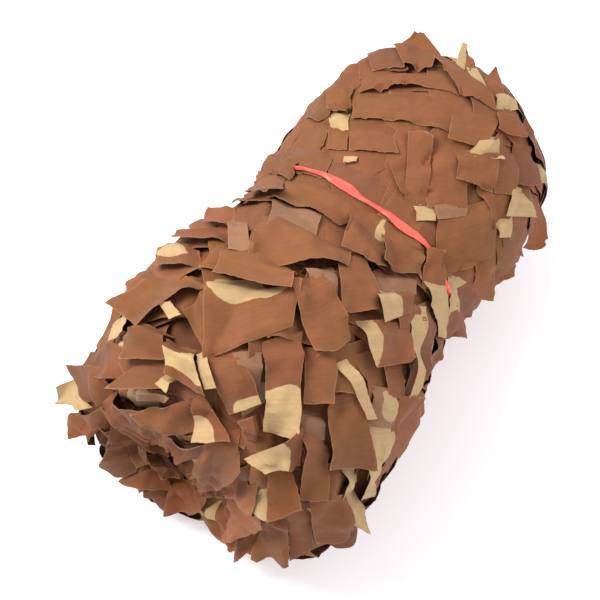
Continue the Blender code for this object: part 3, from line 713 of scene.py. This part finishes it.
def place(q):
    """(s, t) of the points of the roll nearest to q: the sample section whose rim passes
    closest, then the angle about that section's centre."""
    flat = q.reshape(-1, 3)
    x, radius, cy, cz = SAMPLE_SECTION
    dy = flat[:, 1:2] - cy
    dz = (flat[:, 2:3] - cz) / FLATTEN
    off = (flat[:, 0:1] - x) ** 2 + (np.hypot(dy, dz) - radius) ** 2
    i = off.argmin(1)
    rows = np.arange(len(flat))
    angle = np.arctan2(-dy[rows, i], dz[rows, i])
    return SAMPLE[i].reshape(q.shape[:-1]), angle.reshape(q.shape[:-1])


def cells(s, t):
    """Cells of the height map under points (s, t)."""
    i = np.clip((s / END * MAP_S).astype(int), 0, MAP_S - 1)
    k = ((t + math.pi) / (2 * math.pi) * MAP_T).astype(int) % MAP_T
    return i, k


def highest(s, t):
    """Highest thing laid so far at and just around (s, t)."""
    i, k = cells(s, t)
    out = height_map[i, k]
    for di, dk in ((1, 0), (-1, 0), (0, 1), (0, -1)):
        out = np.maximum(out, height_map[np.clip(i + di, 0, MAP_S - 1), (k + dk) % MAP_T])
    return out


def blur(h):
    """Mean of each grid point and its eight neighbours."""
    p = np.pad(h, 1, mode="edge")
    p = (p[:-2] + p[1:-1] + p[2:]) / 3
    return (p[:, :-2] + p[:, 1:-1] + p[:, 2:]) / 3


def finer(h, times):
    """The grid h read at times as many points by straight interpolation."""
    for _ in range(2):
        at = np.linspace(0, len(h) - 1, (len(h) - 1) * times + 1)
        i = np.minimum(at.astype(int), len(h) - 2)
        f = (at - i)[:, None]
        h = (h[i] * (1 - f) + h[i + 1] * f).T
    return h


def bridged(below, times_over):
    """The smoothest cover over what lies below: a blur of it held above it again and again."""
    h = below.copy()
    for _ in range(times_over):
        h = np.maximum(below, blur(h))
    return h


CREASE_SLOPES = (0.07, 0.26)


def creases(along, across, length, pick):
    """Sharp folds: the distance to each of one to three random lines, as a sloping plane on
    both sides with a rounded bottom, signed up or down; mean nought."""
    h = np.zeros_like(along)
    for _ in range(pick.integers(1, 4)):
        heading = pick.uniform(0, math.pi)
        off = pick.uniform(-0.3, 0.3) * length
        d = by_heading(along - length / 2, across, heading)[0] - off
        h += pick.choice([-1, 1]) * pick.uniform(*CREASE_SLOPES) * (np.sqrt(d * d + 0.5) - 0.7)
    return h - h.mean()


FOLD_HEIGHT, FOLD_REACH = 4.5, 12.0


def folds(along, across, length, width, pick):
    """Folds pinched up: along each of two random lines a tent, highest on the line and nought
    at FOLD_REACH from it, growing along the line from one end to the other."""
    h = np.zeros_like(along)
    for _ in range(2):
        heading = pick.uniform(0, math.pi)
        du, dv = along - pick.uniform(0.3, 0.8) * length, across - pick.uniform(-0.3, 0.3) * width
        off, on = by_heading(du, dv, heading)
        tent = np.clip(1 - np.abs(off) / FOLD_REACH, 0, 1) * np.clip(0.5 + on / length, 0, 1)
        h += pick.uniform(0.4, 1) * FOLD_HEIGHT * tent
    return h


# A leaf ready to be laid: its real corners in the order of Leaf's, how far each stands off the
# roll, and its style.
Cut = namedtuple("Cut", "corners stand lift curl point tint blot")
ON_ROLL, STAND_MOST = 1.6, 26.0    # a corner seen closer to the roll than this lies on it


def seen_cut(leaf):
    """A leaf of the near side: each corner goes to the place that is seen there, and a corner
    that is seen beyond the roll's outline stands off by as much.  Left and right are swapped
    where the leaf would face inwards."""
    ends = ((leaf.ax, leaf.ay), (leaf.bx, leaf.by), (leaf.cx, leaf.cy), (leaf.dx, leaf.dy))
    s, t, off = np.array([seen(x, y, COVER) for x, y in ends]).T
    t = np.radians(t)
    corners, stand = raw_point(s, t), np.where(off > ON_ROLL, np.minimum(off, STAND_MOST), 0)
    blot = leaf.blot
    facing = np.cross(corners[2:].sum(0) - corners[:2].sum(0), corners[1] - corners[0])
    if facing @ normal(s, t).sum(0) < 0:
        corners, stand = corners[[1, 0, 3, 2]], stand[[1, 0, 3, 2]]
        blot = (blot[0], -blot[1], *blot[2:])
    return Cut(corners, stand, leaf.lift, leaf.curl, leaf.point, leaf.tint, blot)


def strip_cut(root, tip, widths, slant, lift, curl, tint, blot):
    """A leaf from its root to its tip, each (s, t in degrees), with its width at both; slant
    turns the tip."""
    ends = raw_point(*(np.array([root, tip], float) * [1, math.pi / 180]).T)
    axis = (ends[1] - ends[0]) / np.linalg.norm(ends[1] - ends[0])
    side = np.cross(normal(*place(ends.mean(0)[None]))[0], axis)
    side /= np.linalg.norm(side)
    a, b = (ends[0] + k * widths[0] / 2 * side for k in (-1, 1))
    d, c = (ends[1] + k * (widths[1] / 2 * side + slant / 2 * axis) for k in (-1, 1))
    return Cut(np.array([a, b, c, d]), np.zeros(4), lift, curl, 0, tint, blot)


UNPRINTED = -60.0                  # print depth of a leaf that has none


def print_depth(blot, along, across, length, width, pick):
    """How far in millimetres each point lies inside the pale print: inside an ellipse on the flat
    leaf, its edge bent by two slow waves."""
    shift = pick.uniform(0, 6, 2)
    if not blot[2]:
        return np.full(along.shape, UNPRINTED)
    off = np.hypot((along - blot[0] * length) / blot[2], (across - blot[1] * width) / blot[3])
    bent = 2.6 * np.sin(across / 9 + shift[0]) + 2.2 * np.sin(along / 11 + shift[1])
    return (1 - off) * min(blot[2:]) + bent


def between(corner_values, u, v):
    """Values at the four corners spread over the leaf by two straight interpolations."""
    a, b, c, d = (np.asarray(value, float) for value in corner_values)
    if a.ndim:
        u, v = u[..., None], v[..., None]
    return (1 - u) * ((0.5 - v) * a + (0.5 + v) * b) + u * ((0.5 - v) * d + (0.5 + v) * c)


CURL_FROM = 0.84                   # share of its length at which a leaf starts to curl


def curled(u, length, curl):
    """Where the points at shares u of the length come to lie along the leaf, and how high: the
    last part is bent on an arc by curl degrees."""
    if not curl:
        return u, np.zeros_like(u)
    radius = (1 - CURL_FROM) / abs(math.radians(curl))
    turned = np.clip(u - CURL_FROM, 0, None) / radius
    reach = np.where(turned > 0, CURL_FROM + radius * np.sin(turned), u)
    return reach, math.copysign(1, curl) * radius * length * (1 - np.cos(turned))


ROOT_BLEND, ROOT_DIP = 22.0, 2.4   # a leaf rises out of the cloth over this length
ATTACHED, SIDE_BLEND = 0.50, 14.0  # its sides are cut free past this share of its length


def freed(u, v, length, width, wide, loose):
    """How free of the cloth below each point is, from 0 to 1: rising smoothly from the root, and
    beside the leaf's sides only past the share of its length at which they are cut free."""
    free = np.clip(u * length / min(ROOT_BLEND, 0.4 * length), 0, 1)
    free = free * free * (3 - 2 * free)
    attached = ATTACHED * (1 - 0.6 * loose)
    near_side = np.clip(1 - (0.5 - np.abs(v)) * width / min(SIDE_BLEND, 0.3 * wide), 0, 1)
    return free * (1 - np.clip((attached - u) / attached, 0, 1) * near_side)


def past(x, first, last):
    """How far x has passed from first to last, from 0 to 1."""
    return float(np.clip((first - x) / (first - last), 0, 1))


LEAF_GAP, LEAF_WALL = 0.30, 0.28
FINER = 3                          # a grid is read this much finer when it is put on the map


def put_on_map(s, t, h):
    """Raises the map to a leaf that lies at height h, also where t passes half a turn."""
    if t.max() - t.min() > math.pi:
        fine_t = (finer(np.where(t < 0, t + 2 * math.pi, t), FINER) + math.pi) % (2 * math.pi) - math.pi
    else:
        fine_t = finer(t, FINER)
    np.maximum.at(height_map, cells(finer(s, FINER), fine_t), finer(h, FINER) + LEAF_WALL)


LOOSE_FROM, LOOSE_TO = 60.0, -60.0   # x at which the cloth begins to lie loosely, and does fully
END_FROM, END_TO = -120.0, -200.0  # the same for the crumpled end
STIFF = (0.10, 0.32)               # how far a leaf stays straight across: tight half, loose half
LIFT = (0.30, 0.34, 1.5)           # share of the tips' lift: tight half, loose half, its end
TIGHT_FOLDS = 0.35                 # height of the folds on the tight half, as a share of the end's
JOIN_REACH, JOINED = 7.0, 1.2      # how far in from its edge a leaf is held down, and how often
BASE_BLURS = 6                     # a root sinks to what lies below it, blurred this often
HAND_CUT, TILT = 0.05, 0.6         # how much the sides bow, and a tip lifts more on one side
DEEPEST_CURL = -3.0                # a tip curls no further into what lies below
ROOT_FADE, TONE_SPREAD = 0.35, 0.045   # near its root a leaf has the plain tint; chance in its tone
END_PAINTED_SHADE = 0.14                    # painted shade: how much darker the leaves of the crumpled open end are painted, for the shade among its folds
EDGE_HIGHLIGHT_FROM, EDGE_HIGHLIGHT_SHARE = 9, 0.3     # near its root a leaf has no pale edge line, the painted highlight along its cut edge
Laid = namedtuple("Laid", "s t height flat mask tone hue edge size")


def lay(cut, index, step, bridge):
    """One leaf laid on what is there, as grids: places and heights on the roll, places on the
    flat leaf, print mask, tone, hue and distance from the cut edge.  The flat leaf is a
    quadrilateral with a straight or pointed tip; every point goes to the nearest place on the
    roll.  Its height is the smoothest cover over what lies below, partly straightened across,
    plus its creases, plus what that lacks to stay above what lies below, spread softly, plus
    pinched folds on finely divided leaves.  On the tight half stretches of the edges are held
    down.  Towards the root it sinks to the cloth.  The tip lifts with the cube of the distance
    from the root, and may curl."""
    pick = np.random.default_rng(1000 + index)
    a, b, c, d = cut.corners
    length = float(np.linalg.norm(d - a) + np.linalg.norm(c - b)) / 2
    root_width, tip_width = float(np.linalg.norm(b - a)), float(np.linalg.norm(c - d))
    wide = max(root_width, tip_width)
    u, v = np.meshgrid(np.linspace(0, 1, max(6, round(length / step) + 1)),
                       np.linspace(-0.5, 0.5, max(5, round(wide / step) + 1)), indexing="ij")
    width = root_width + (tip_width - root_width) * u
    along, across = u * length, v * width
    edge = np.minimum(np.minimum(u, 1 - u) * length, (0.5 - np.abs(v)) * width)
    reach, rise = curled(u, length, cut.curl)
    ahead = (c + d - a - b) / np.linalg.norm(c + d - a - b)
    bow = pick.uniform(-HAND_CUT, HAND_CUT) * (1 - np.abs(2 * u - 1)) * np.sign(v) * np.abs(2 * v) ** 2
    pointed = cut.point * (1 - np.abs(2 * v) ** 1.4) * u * u
    s, t = place(between(cut.corners, reach, v + bow) + pointed[..., None] * ahead)
    x = float(raw_point(s, t)[..., 0].mean())
    loose, end = past(x, LOOSE_FROM, LOOSE_TO), past(x, END_FROM, END_TO)
    below = highest(s, t) + LEAF_GAP
    h = bridged(below, bridge)
    straight = bridged(below.max(1, keepdims=True), 4 * bridge)
    h = h + (STIFF[0] + (STIFF[1] - STIFF[0]) * loose) * (straight - h)
    h = h + creases(along, across, length, pick) * (0.6 + 0.4 * loose + 0.4 * end)
    lack = np.maximum(below - h, 0)
    for _ in range(bridge // 3):
        lack = np.maximum(lack, blur(lack))
    h = h + lack
    if step < FOLD_REACH / 3:
        h = h + folds(along, across, length, wide, pick) * (end + TIGHT_FOLDS * (1 - loose))
    stretches = np.clip(3 * ripple(s, t, seed=41, count=5, shortest=40, longest=90) + JOINED, 0, 1)
    held = np.clip(1.4 - edge / JOIN_REACH, 0, 1) * stretches * (1 - loose)
    h = h + (np.maximum(below, blur(below)) - h) * held
    base = below
    for _ in range(BASE_BLURS):
        base = blur(base)
    free = freed(u, v, length, width, wide, loose)
    h = base + (h - base) * free - ROOT_DIP * (1 - free)
    tilt = 1 + pick.uniform(-TILT, TILT) * 2 * v
    lift = cut.lift * float(np.interp(loose + end, (0, 1, 2), LIFT)) * (1 - held)
    h = h + lift * u ** 3 * tilt + np.maximum(rise, DEEPEST_CURL)
    put_on_map(s, t, h)
    mask = print_depth(cut.blot, along, across, length, wide, pick)
    tint = TINTS[cut.tint]
    fade = np.clip(u / ROOT_FADE, 0, 1) if tint.tone < 0.5 else np.ones_like(u)
    # Near the open end the tone is lowered: painted shade for the shade among the folds there.
    tone = (tint.tone + pick.uniform(-TONE_SPREAD, TONE_SPREAD) - END_PAINTED_SHADE * end) * fade
    edge = edge + EDGE_HIGHLIGHT_FROM * np.clip(1 - u / EDGE_HIGHLIGHT_SHARE, 0, 1)
    return Laid(s, t, h + between(cut.stand, u * u, v), np.stack([along, across], -1) * MM, mask, tone,
                tint.hue * fade, edge, length * float(width.mean()))


COMMON_TINTS = ("plain", "plain", "plain", "plain", "dark", "warm", "dusk", "plain")
CURLS = (0, 0, 0, 0, 30, -40)
PRINTED = 0.33                     # share of the leaves of the other sides with some pale print


def loose_style(pick, lifts):
    """Lift between two limits, curl, tint and print of a leaf that lies anywhere."""
    curl = float(pick.choice(CURLS))
    tint = COMMON_TINTS[pick.integers(len(COMMON_TINTS))]
    blot = (pick.uniform(0, 1), pick.uniform(-0.5, 0.5), pick.uniform(12, 34), pick.uniform(9, 22))
    return pick.uniform(*lifts), curl, tint, blot if pick.random() < PRINTED else NO_PRINT


LAYER_STEP, LAYER_LEAF = 46.0, 92  # spacing and length of the covering leaves
LARGER_FROM, LARGER_OVER = 330, 80   # on the tight half they are larger
FLAT_LIFTS = (0.3, 2.5)
POLE = 8                           # how far the leaves stay off the middles of the ends


def covering_leaves(step, turn, seed):
    """Leaves that cover the whole roll: rings of them a step apart, each turned and sized at
    random, closing in over both ends."""
    pick = np.random.default_rng(seed)
    out = []
    for k, ring in enumerate(np.arange(step * 0.5, END, step)):
        radius = radius_at(ring)
        count = max(3, round(2 * math.pi * radius / step))
        for i in range(count):
            t = 360 * (i + 0.5 * (k % 2) + turn) / count - 180 + pick.uniform(-5, 5)
            heading = pick.uniform(0, 2 * math.pi)
            large = 1 + 0.4 * np.clip((ring - LARGER_FROM) / LARGER_OVER, 0, 1)
            reach = LAYER_LEAF * large * pick.uniform(0.4, 0.6)
            ds = reach * math.cos(heading)
            dt = math.degrees(reach * math.sin(heading) / max(radius, 25))
            widths = np.array([pick.uniform(50, 70), pick.uniform(24, 60)]) * large
            root = (np.clip(ring - ds, POLE, END - POLE), t - dt)
            tip = (np.clip(ring + ds, POLE, END - POLE), t + dt)
            out.append(strip_cut(root, tip, widths, pick.uniform(-16, 16), *loose_style(pick, FLAT_LIFTS)))
    return out


ROWS = (96, 130, 232, 266, 300)    # t of the rows that face away, in degrees
COLUMN_FIRST, COLUMN_LAST, COLUMN_STEP = 118, 640, 92
ROW_LEAF = (76.0, 50.0, 38.0)      # length, root's width and tip's width
END_TURN, END_LEAF = 72, (46, 30)   # on the ends: degrees from leaf to leaf, and their widths
END_RINGS = ((108, 58), (END - 84, END - 34))      # s of their roots and tips
ROW_LIFTS, ROW_SEED = (1.0, 4.0), 11


def row_leaves():
    """The larger leaves of the sides that face away, in rows along the roll and on its ends."""
    pick, style = np.random.default_rng(ROW_SEED), np.random.default_rng(ROW_SEED + 1)
    out = []
    for row, t in enumerate(ROWS):
        for s in range(COLUMN_FIRST + (row % 2) * COLUMN_STEP // 2, COLUMN_LAST, COLUMN_STEP):
            length, root, tip = np.array(ROW_LEAF) * pick.uniform(0.85, 1.15, 3)
            half = length * 0.5 * pick.choice([-1, 1])
            droop = (8 if t < 180 else -8) + pick.uniform(-12, 12)
            out.append(strip_cut((s + half, t), (s - half, t + droop), (root, tip), style.uniform(-6, 6),
                                 *loose_style(style, ROW_LIFTS)))
    for t in range(-170, 180, END_TURN):
        for root, tip in END_RINGS:
            out.append(strip_cut((root, t), (tip, t + pick.uniform(14, 40)), END_LEAF, style.uniform(-6, 6),
                                 *loose_style(style, ROW_LIFTS)))
    return out


def lay_all(cuts, first, step, bridge):
    """Lays leaves in turn, on grids of a step in millimetres; first is the number that the first
    one's random draws go by, bridge how often its cover is evened."""
    return [lay(cut, first + i, step, bridge) for i, cut in enumerate(cuts)]


OVER_TAPE = 6                      # level of the leaves that lie over the tape
ranked = sorted(LEAVES, key=lambda leaf: leaf.level)
main_cuts = [seen_cut(leaf) for leaf in ranked if leaf.level < OVER_TAPE]
under = lay_all(covering_leaves(LAYER_STEP, turn=0.0, seed=21), first=0, step=7.0, bridge=10)
over = lay_all(covering_leaves(LAYER_STEP * 1.1, turn=0.3, seed=22), first=2000, step=6.6, bridge=10)
far_side = lay_all(row_leaves(), first=5000, step=4.0, bridge=16)
main = lay_all(main_cuts, first=7000, step=2.7, bridge=34)


def smooth(field, times, reach):
    """A field on the map blurred by repeated means over reach cells each way, closed round t."""
    for _ in range(times):
        p = np.pad(field, ((reach, reach), (0, 0)), mode="edge")
        field = sum(p[k:k + MAP_S] for k in range(2 * reach + 1)) / (2 * reach + 1)
        field = sum(np.roll(field, k, 1) for k in range(-reach, reach + 1)) / (2 * reach + 1)
    return field


# How far the settled cloth lies below where it was laid: what the layers have built up, the
# hollows and the waist's groove, less a crumple, deep at the open end, and long folds that run
# out from the tie.
WAIST, WAIST_GROOVE, WAIST_REACH = 449.0, 4.5, 14.0
HOLLOW_SHARE = 0.6
END_CRUMPLE, SIDE_CRUMPLE = 6.5, 2.2
END_REACH = (110.0, 210.0)         # the crumpled end fades out between these
GATHER_HEIGHT, GATHER_REACH = 3.0, 60.0
waist = np.exp(-((grid_s - WAIST) / WAIST_REACH) ** 2)
pressed = HOLLOW_SHARE * hollow_depth(grid_s, grid_t) + WAIST_GROOVE * waist
crumpled = 1 - np.clip((grid_s - END_REACH[0]) / (END_REACH[1] - END_REACH[0]), 0, 1)
crumple = (SIDE_CRUMPLE * ripple(grid_s, grid_t, seed=31, count=7, shortest=60, longest=150)
           + crumpled * END_CRUMPLE * ripple(grid_s, grid_t, seed=32, count=4, shortest=55, longest=120))
gathers = (GATHER_HEIGHT * np.exp(-np.abs(grid_s - WAIST) / GATHER_REACH)
           * ripple(grid_s / 3, grid_t, seed=33, count=6, shortest=22, longest=40))
settled = smooth(height_map - SETTLED, 3, 5) + pressed - smooth(crumple + gathers, 2, 1)


def sink(s, t):
    """How far the cloth sinks at a place: the map of it read between its cells by straight
    interpolation.  It is smooth, so the layers keep their order."""
    a = np.clip(s / END * MAP_S - 0.5, 0, MAP_S - 1.001)
    b = (t + math.pi) / (2 * math.pi) * MAP_T - 0.5
    i, k = a.astype(int), np.floor(b).astype(int)
    f, g = a - i, b - k
    k, after = k % MAP_T, (k + 1) % MAP_T
    return ((settled[i, k] * (1 - f) + settled[i + 1, k] * f) * (1 - g)
            + (settled[i, after] * (1 - f) + settled[i + 1, after] * f) * g)


LEAF_CLOTH = [
    cloth_material("leaf_face", srgb(127, 81, 51), srgb(178, 149, 107), 0.45, 0.03),
    cloth_material("leaf_back", srgb(132, 101, 76), srgb(146, 119, 86), 0.45, 0.03),
    # The cut edge's rim is painted paler than the face: a painted highlight for light catching the rims.
    cloth_material("leaf_cut_edge_highlight", srgb(160, 116, 84), srgb(190, 164, 124), 0.1, 0.0),
]


def leaf_piece(name, laid):
    """Joins laid leaves in one mesh with a thin wall.  Each has its own place on the flat cloth,
    so that streaks differ from leaf to leaf."""
    first = np.cumsum([0] + [leaf.s.size for leaf in laid])
    quads = [grid_quads(*leaf.s.shape, first=start) for leaf, start in zip(laid, first)]
    points = [point(leaf.s, leaf.t, leaf.height - sink(leaf.s, leaf.t)).reshape(-1, 3) for leaf in laid]
    places = [leaf.flat.reshape(-1, 2) + [0.13 * (i % 17), 0.17 * (i // 17)] for i, leaf in enumerate(laid)]
    layers = (np.concatenate([getattr(leaf, layer).ravel() for leaf in laid])
              for layer in ("mask", "tone", "hue", "edge"))
    obj = new_mesh(name, np.concatenate(points), np.concatenate(quads))
    set_layers(obj, np.concatenate(places), *layers)
    for material in LEAF_CLOTH:
        obj.data.materials.append(material)
    wall = thicken(obj, "cloth_wall", LEAF_WALL * MM, 1)
    wall.material_offset, wall.material_offset_rim = 1, 2      # the back, and the cut edge with its painted highlight
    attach(obj, "root")


leaf_piece("leaves_under", under)
leaf_piece("leaves_over", over)
leaf_piece("leaves_far_side", far_side)
leaf_piece("leaves_main", main)

# ----------------------------------------------------------------------------------------------
# The tie: one flat red tape of woven plastic, 11 mm wide, drawn tight round the waist.  It is
# partly twisted, so it shows wide and narrow in turn, and leaves lie over it in two places.

# Where it is seen from the camera and how wide it shows, and the rest by its real place.
TAPE_HEIGHT = 1.0                  # off the smooth roll
SeenStop = namedtuple("SeenStop", "x y width")
TAPE_SEEN = [
    SeenStop(272, 176, 5.0),
    SeenStop(287, 171, 4.5),
    SeenStop(320, 173, 4.2),
    SeenStop(346, 187, 11.5),
    SeenStop(365, 201, 5.0),
    SeenStop(383, 213, 5.5),
    SeenStop(405, 231, 10.5),
    SeenStop(424, 248, 5.0),
    SeenStop(437, 270, 7.0),
    SeenStop(447, 293, 7.0),
]
TapeStop = namedtuple("TapeStop", "s t width")
TAPE_BEHIND = [
    TapeStop(440, 85, 8.0),
    TapeStop(447, 110, 9.5),
    TapeStop(453, 145, 8.0),
    TapeStop(457, 180, 8.0),
    TapeStop(460, 220, 9.5),
    TapeStop(460, 260, 9.0),
]
TAPE_WIDE, TAPE_NARROW = 11.0, 3.5
TAPE_GAP, TAPE_WALL = 0.4, 0.5
TAPE_ROWS, TAPE_COLUMNS = 361, 9
TAPE_PUCKER, TAPE_WAVE, TAPE_MEANS = 0.16, 0.25, 20
waist_places = sight(TAPE_HEIGHT)
tape_stops = [TapeStop(*seen(row.x, row.y, waist_places)[:2], row.width) for row in TAPE_SEEN] + TAPE_BEHIND


def tape_curve(column, at):
    """A column of the tape's stops as a smooth closed curve round the roll."""
    turn = [row._replace(t=row.t + 360 * k) for k in (-1, 0, 1) for row in tape_stops]
    return hermite([row.t for row in turn], [getattr(row, column) for row in turn], at)


angle = np.linspace(-180, 180, TAPE_ROWS)
wide = np.maximum(tape_curve("width", angle), TAPE_NARROW)
v = np.linspace(-0.5, 0.5, TAPE_COLUMNS)
tape_s = tape_curve("s", angle)[:, None] + wide[:, None] * v
tape_t = np.radians(angle)[:, None] + 0 * v
# It puckers across by a wave that grows as it narrows, and lies over the leaves as a running
# mean that is held above them again and again.
pucker = ((TAPE_WIDE - wide)[:, None] * TAPE_PUCKER * np.cos(2 * math.pi * v)
          + TAPE_WAVE * np.sin(angle / 3.1 + 5 * v[:, None]).T)
under_tape = highest(tape_s, tape_t).max(1) + TAPE_GAP
tape_h = under_tape.copy()
for _ in range(TAPE_MEANS):
    around = np.pad(tape_h, 2, mode="wrap")
    tape_h = np.maximum(under_tape, np.convolve(around, np.ones(5) / 5, mode="valid"))
tape_h = tape_h[:, None] + pucker - pucker.min(1, keepdims=True)
np.maximum.at(height_map, cells(finer(tape_s, FINER), finer(tape_t, FINER)),
              finer(tape_h, FINER) + TAPE_WALL)
tape = new_mesh("tie_tape", point(tape_s, tape_t, tape_h - sink(tape_s, tape_t)).reshape(-1, 3),
                grid_quads(TAPE_ROWS, TAPE_COLUMNS))
write(tape.data.polygons, "use_smooth", np.ones(len(tape.data.polygons)), bool)
tape_paint, _, tape_shader = new_material("tape_red")
fill(tape_shader, Base_Color=srgb(250, 92, 78), Roughness=0.42)
tape.data.materials.append(tape_paint)
thicken(tape, "tape_wall", TAPE_WALL * MM, 1)
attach(tape, "root")
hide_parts("tie_band")

# ----------------------------------------------------------------------------------------------
# The leaves over the tape: the same cut cloth, fixed under its neighbours on the thick end and
# reaching across the tape.
tape_cuts = [seen_cut(leaf) for leaf in ranked if leaf.level == OVER_TAPE]
leaf_piece("leaves_over_tape", lay_all(tape_cuts, first=8000 + len(main), step=2.6, bridge=34))
